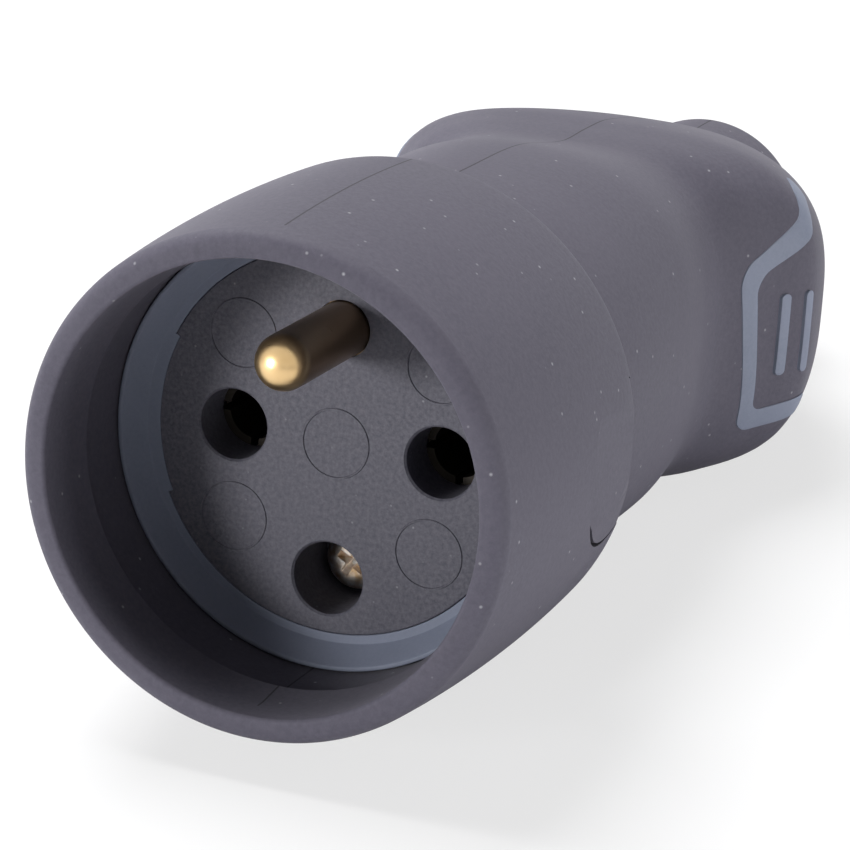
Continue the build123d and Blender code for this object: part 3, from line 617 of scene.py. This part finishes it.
def handleShell():
    bm = bmesh.new()
    collarReach, collarFront = handle["collar"]
    edges = firstRing(bm, collarFront, collarReach)
    edges = nextRing(bm, edges, stations[0][0] - handle["collarStep"], collarReach, collarReach)
    for depth in handleDepths():
        least = handle["outlet"] if depth > handle["outletStart"] else 0
        edges = nextRing(bm, edges, depth, *sectionAt(depth), least=least)
    turns = handle["outletRound"]
    back = handle["outletBack"]
    edges = nextRing(bm, edges, back - handle["outletRun"], handle["outlet"], handle["outlet"])
    for step in range(handle["roundSteps"] + 1):
        angle = math.radians(90 * step / handle["roundSteps"])
        radius = handle["outlet"] - turns + turns * math.cos(angle)
        edges = nextRing(bm, edges, back - turns + turns * math.sin(angle), radius, radius)
    previous = back
    for radius, depth in handle["inside"]:
        if depth == previous:  # a flat step keeps a hair's tilt, so that each ring is told apart
            depth -= handle["hairTilt"]
        edges = nextRing(bm, edges, depth, radius, radius)
        previous = depth
    edges = nextRing(bm, edges, collarFront, collarReach, collarReach)
    return closeUp(bm)


def handleSolid(grow):
    # the closed outside alone, grown evenly, to cut the inlays to the handle's curve
    bm = bmesh.new()
    start = stations[0][0]
    edges = firstRing(bm, start, stations[0][1] + grow)
    for depth in handleDepths()[1:]:
        halfWidth, halfHeight, squareness = sectionAt(depth)
        edges = nextRing(bm, edges, depth, halfWidth + grow, halfHeight + grow, squareness)
    bmesh.ops.holes_fill(bm, edges=[edge for edge in bm.edges if edge.is_boundary])
    bmesh.ops.recalc_face_normals(bm, faces=bm.faces)
    return bm


# soft grip inlays, drawn from the side as (depth, height)
grip = {
    "frameOutline": (  # outer edge from the ear to the foot, then the inner edge back
        (64.1, 13.25, 0.7), (61.9, 12.45, 2.2), (60.3, 10.35, 2.6), (52.9, 6.1, 3.0), (54.6, -10.2, 1.6),
        (63.2, -9.3, 0.9), (62.9, -7.25, 0.9), (55.75, -8.1, 1.0), (54.65, 5.1, 2.4), (61.6, 8.5, 2.6),
        (63.2, 10.7, 2.6), (64.7, 11.5, 0.7)),
    "frameRise": 0.1,
    "seat": 14.8, "reach": 26.0, "gap": 0.02,
    "ribs": (57.9, 60.6), "ribHeight": -0.7, "ribLength": 8.0, "ribWidth": 0.95,
    "ribRise": 0.27, "ribRound": 0.49, "rims": (0.12, 0.25), "rimAngle": 50,
}


def frameTool(spare=0.0):
    # the frame's outline as a prism across the handle
    bm = wire(grip["frameOutline"])
    bmesh.ops.contextual_create(bm, geom=bm.edges[:])
    turn = Matrix(((0, 0, 1), (1, 0, 0), (0, 1, 0)))  # radius and depth of the wire become depth and height
    bmesh.ops.transform(bm, matrix=turn.to_4x4(), verts=bm.verts)
    bmesh.ops.translate(bm, vec=(grip["seat"] * mm, 0, 0), verts=bm.verts)
    if spare:
        bmesh.ops.inset_region(bm, faces=bm.faces[:], thickness=spare * mm, use_boundary=True,
                               use_even_offset=True, use_outset=True)
        bmesh.ops.dissolve_faces(bm, faces=bm.faces[:])
    made = bmesh.ops.extrude_face_region(bm, geom=bm.faces[:], use_keep_orig=True)["geom"]
    far = [item for item in made if isinstance(item, bmesh.types.BMVert)]
    bmesh.ops.translate(bm, vec=((grip["reach"] - grip["seat"]) * mm, 0, 0), verts=far)
    bmesh.ops.recalc_face_normals(bm, faces=bm.faces)
    return solid("frame", bm)


def ribTool(depth, spare=0.0):
    width, length = grip["ribWidth"] + 2 * spare, grip["ribLength"] + 2 * spare
    bm = bmesh.new()
    bmesh.ops.create_cube(bm, size=1)
    bmesh.ops.scale(bm, vec=((grip["reach"] - grip["seat"]) * mm, width * mm, length * mm), verts=bm.verts)
    middle = ((grip["reach"] + grip["seat"]) / 2 * mm, depth * mm, grip["ribHeight"] * mm)
    bmesh.ops.translate(bm, vec=middle, verts=bm.verts)
    bmesh.ops.bevel(bm, geom=edgesAlong(bm, 0), offset=grip["ribRound"] * width * mm, segments=8,
                    profile=0.5, affect="EDGES", material=-1)
    return solid("rib", bm)


rearHandle = solid("rearHandle", handleShell())
pads = []
for side in sides:
    pad = solid("pad", padSlab(side, sidePad["radius"], sidePad["floor"], sidePad["top"]))
    root = padSlab(side, sidePad["rootRadius"], sidePad["rootFloor"], sidePad["rootTop"],
                   sidePad["rootFront"])
    carved(pad, [solid("root", root)], "UNION")
    form = barrelSolid([(0, barrel["back"][1]), (0, barrel["mouth"][1])], sidePad["arcCuts"],
                       sidePad["backRound"])
    bmesh.ops.translate(form, vec=(0, -sidePad["inset"] * mm, 0), verts=form.verts)
    pads.append(carved(pad, [solid("form", form)], "INTERSECT"))
carved(rearHandle, pads, "UNION")
channels = []
for side in sides:
    for tool in (frameTool(grip["gap"]), *[ribTool(depth, grip["gap"]) for depth in grip["ribs"]]):
        if side < 0:
            tool.data.transform(Matrix.Scale(-1, 4, (1, 0, 0)))
            tool.data.flip_normals()
        channels.append(tool)
carved(rearHandle, channels)
mounted(rearHandle, blackRubber, "black_rubber", "rear_handle")
print("rear handle made")

frameInlay = frameTool()
frameInlay.name = "gripFrameRight"
carved(frameInlay, [solid("form", handleSolid(grip["frameRise"]))], "INTERSECT")
ribInlay = ribTool(grip["ribs"][0])
ribInlay.name = "gripRibsRight"
carved(ribInlay, [ribTool(grip["ribs"][1])], "UNION")
carved(ribInlay, [solid("form", handleSolid(grip["ribRise"]))], "INTERSECT")
frameRim, ribRim = grip["rims"]
for piece, name, nodes, reach in ((frameInlay, "gripFrameLeft", "grip_frame_", frameRim),
                                  (ribInlay, "gripRibsLeft", "grip_ribs_", ribRim)):
    rim = piece.modifiers.new("rim", "BEVEL")
    rim.width = reach * mm
    rim.segments = 3
    rim.limit_method = "ANGLE"
    rim.angle_limit = math.radians(grip["rimAngle"])
    settled(piece)
    other = twin(piece, name)
    mounted(piece, greyRubber, "grey_rubber", nodes + "right")
    mounted(other, greyRubber, "grey_rubber", nodes + "left")
print("grip inlays made")


# cable seal in the outlet
sealSize = {"outer": 7.78, "bore": 4.8, "front": 84.2, "back": 95.2, "outerRound": 0.3, "boreRound": 0.5}
cableSeal = solid("cableSeal", turned([
    (sealSize["bore"], sealSize["front"]), (sealSize["outer"], sealSize["front"]),
    (sealSize["outer"], sealSize["back"], sealSize["outerRound"]),
    (sealSize["bore"], sealSize["back"], sealSize["boreRound"]),
], steps=128))
mounted(cableSeal, blackRubber, "black_rubber", "cable_seal")


# inner pieces keep their own meshes and get their finish; the brass deep in the holes is painted near black
# as painted shade
finishes = {"insert_plastic": insertPlastic, "pin_brass": shadowedBrass, "screw_steel": brightSteel}
replaced = ("contact_insert", "earth_pin", "assembly_screw")
for row in frame["record"]["subparts"]:
    if row["material_slot"] in finishes and row["node"] not in replaced:
        node = frame["nodes"][row["node"]]
        node.data.materials.clear()
        node.data.materials.append(finishes[row["material_slot"]])
print("inner pieces finished")


# floor, light and camera
stand = {"tilt": 6.5, "size": 4.0, "colour": (0.86, 0.86, 0.87), "white": 0.7}
lamps = {
    "topBox": {"place": (-0.3, 0.1, 0.75), "aim": (0, 0.02, 0), "size": 0.5, "power": 10.5},
    "leftBox": {"place": (-0.5, -0.85, 0.05), "aim": (0, 0, 0), "size": 0.24, "power": 7.8},
    "rightBox": {"place": (0.75, 0.05, -0.05), "aim": (0, 0.03, -0.01), "size": 0.3, "power": 9.0},
}
backdrop = {"light": 0.125, "white": 1.0}
eye = {"place": (124.743, -294.468, 100.595), "turn": (72.8516, -3.7112, 22.7819), "lens": 169.4}


def whiteToEye(tree, glossToo=True):
    # one where the camera, a reflection or glass looks
    path = shaderNode(tree, "LightPath")
    seen = path.outputs["Is Camera Ray"]
    if glossToo:
        for name in ("Is Glossy Ray", "Is Transmission Ray"):
            either = shaderNode(tree, "Math", {0: seen, 1: path.outputs[name]}, operation="MAXIMUM")
            seen = either.outputs[0]
    return seen


def floorMaterial():
    material = bpy.data.materials.new("paleFloor")
    material.use_nodes = True
    tree = material.node_tree
    shader = tree.nodes["Principled BSDF"]
    shader.inputs["Base Color"].default_value = (*stand["colour"], 1)
    shader.inputs["Roughness"].default_value = 0.9
    shader.inputs["Specular IOR Level"].default_value = 0.0
    white = shaderNode(tree, "Emission", Strength=1.0)
    share = shaderNode(tree, "Math", {0: whiteToEye(tree, False)}, operation="MULTIPLY")
    share.inputs[1].default_value = stand["white"]
    mix = shaderNode(tree, "MixShader", {0: share.outputs[0], 1: shader.outputs[0], 2: white.outputs[0]})
    tree.links.new(mix.outputs[0], tree.nodes["Material Output"].inputs["Surface"])
    return material


bm = bmesh.new()
bmesh.ops.create_grid(bm, x_segments=1, y_segments=1, size=stand["size"])
tilt = Matrix.Rotation(math.radians(stand["tilt"]), 3, "X")
bmesh.ops.rotate(bm, cent=(0, 0, 0), matrix=tilt, verts=bm.verts)
upward = tilt @ Vector((0, 0, 1))
lowest = min(upward.dot(vert.co) for piece in (frontSleeve, rearHandle) for vert in piece.data.vertices)
bmesh.ops.translate(bm, vec=upward * lowest, verts=bm.verts)
floor = solid("floor", bm)
floor.data.materials.append(floorMaterial())

for name, lamp in lamps.items():
    light = bpy.data.lights.new(name, "AREA")
    light.size = lamp["size"]
    light.energy = lamp["power"]
    holder = bpy.data.objects.new(name, light)
    bpy.context.scene.collection.objects.link(holder)
    holder.location = lamp["place"]
    aim = Vector(lamp["aim"]) - Vector(lamp["place"])
    holder.rotation_euler = aim.to_track_quat("-Z", "Y").to_euler()

world = bpy.data.worlds.new("studio")
bpy.context.scene.world = world
world.use_nodes = True
tree = world.node_tree
background = tree.nodes["Background"]
level = shaderNode(tree, "MapRange", {"Value": whiteToEye(tree)}, To_Min=backdrop["light"],
                   To_Max=backdrop["white"])
tree.links.new(level.outputs["Result"], background.inputs["Strength"])
background.inputs["Color"].default_value = (1, 1, 1, 1)

camera = bpy.data.objects.new("camera", bpy.data.cameras.new("camera"))
bpy.context.scene.collection.objects.link(camera)
camera.data.lens = eye["lens"]
camera.data.sensor_width = 36
camera.data.clip_start = 0.01
camera.location = Vector(eye["place"]) * mm
camera.rotation_euler = [math.radians(angle) for angle in eye["turn"]]
bpy.context.scene.camera = camera
bpy.context.scene.view_settings.view_transform = "Standard"
print("floor, lamps and camera set")
